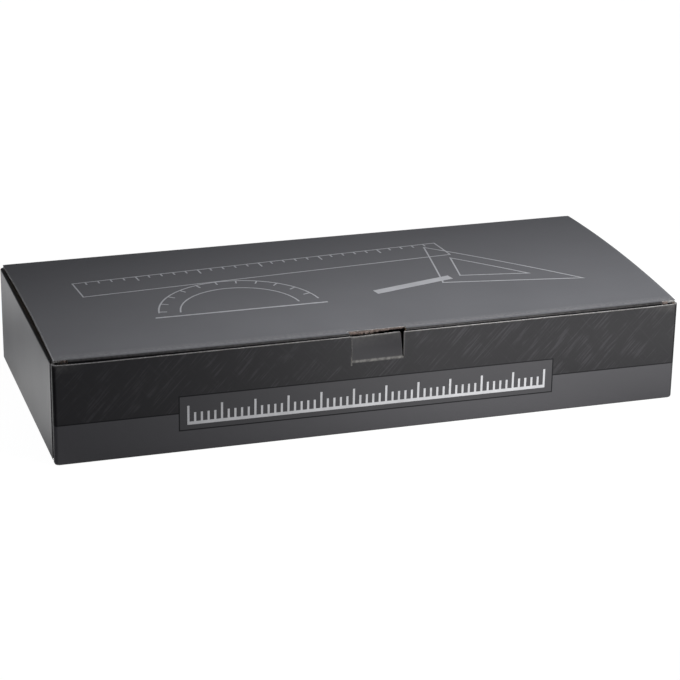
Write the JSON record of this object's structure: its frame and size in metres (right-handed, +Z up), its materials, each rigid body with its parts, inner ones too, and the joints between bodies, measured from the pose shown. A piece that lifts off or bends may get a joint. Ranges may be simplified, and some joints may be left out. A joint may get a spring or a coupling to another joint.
{
  "type": "packed desktop whiteboard",
  "caption": "Closed corrugated mailing carton with a folding lid, tuck flap and press-in lock, holding a wedge-shaped desktop whiteboard with its marker between foam blocks.",
  "frame": {"origin": "on the surface the carton stands on, under the middle of the carton", "axes": "+X along the carton's width, to the right seen from the front; +Y from the front to the hinge of the lid; +Z up"},
  "size_m": [0.48, 0.216, 0.0825],
  "materials": {
    "black_print": "satin",
    "kraft_board": "matte",
    "white_foam": "matte",
    "stand_paint": "satin",
    "white_glass": "polished",
    "zinc_steel": "satin",
    "grey_tape": "matte",
    "foot_rubber": "matte",
    "marker_white": "satin",
    "marker_black": "satin",
    "marker_felt": "matte"
  },
  "bodies": {
    "carton": {"carton_floor": "kraft_board", "front_wall": "black_print", "back_wall": "black_print", "side_wall_left": "black_print", "side_wall_right": "black_print", "side_roll_left": "black_print", "side_roll_right": "black_print", "front_corner_flap_left": "black_print", "front_corner_flap_right": "black_print", "back_corner_flap_left": "black_print", "back_corner_flap_right": "black_print", "end_block_left": "white_foam", "end_block_right": "white_foam", "stand": "stand_paint", "glass_panel": "white_glass", "steel_backing": "zinc_steel", "tape_strip_front": "grey_tape", "tape_strip_rear": "grey_tape", "foot_front_left": "foot_rubber", "foot_front_right": "foot_rubber", "foot_rear_left": "foot_rubber", "foot_rear_right": "foot_rubber", "marker_barrel": "marker_white", "marker_end_plug": "marker_black", "marker_nib_holder": "marker_black", "marker_nib": "marker_felt", "marker_reservoir": "marker_felt"},
    "lid": {"lid_panel": "black_print"},
    "tuck_flap": {"tuck_flap": "black_print"},
    "lock_tab": {"lock_tab": "black_print"},
    "marker_cap": {"marker_cap": "marker_black"}
  },
  "joints": [
    {"name": "lid_fold", "type": "hinge", "parent": "carton", "child": "lid", "pos_m": [0, 0.108, 0.0774], "axis": [-1, 0, 0], "range_deg": [0, 180]},
    {"name": "tuck_flap_fold", "type": "hinge", "parent": "lid", "child": "tuck_flap", "pos_m": [0, -0.106, 0.079], "axis": [-1, 0, 0], "range_deg": [0, 90]},
    {"name": "lock_tab_fold", "type": "hinge", "parent": "carton", "child": "lock_tab", "pos_m": [0.0008, -0.108, 0.0573], "axis": [1, 0, 0], "range_deg": [-5, 60]},
    {"name": "marker_cap_pull", "type": "slide", "parent": "carton", "child": "marker_cap", "axis": [1, 0, 0], "range_m": [0, 0.045]}
  ],
  "couplings": [
    {"joint": "tuck_flap_fold", "follows": "lid_fold", "ratio": 0.5}
  ]
}
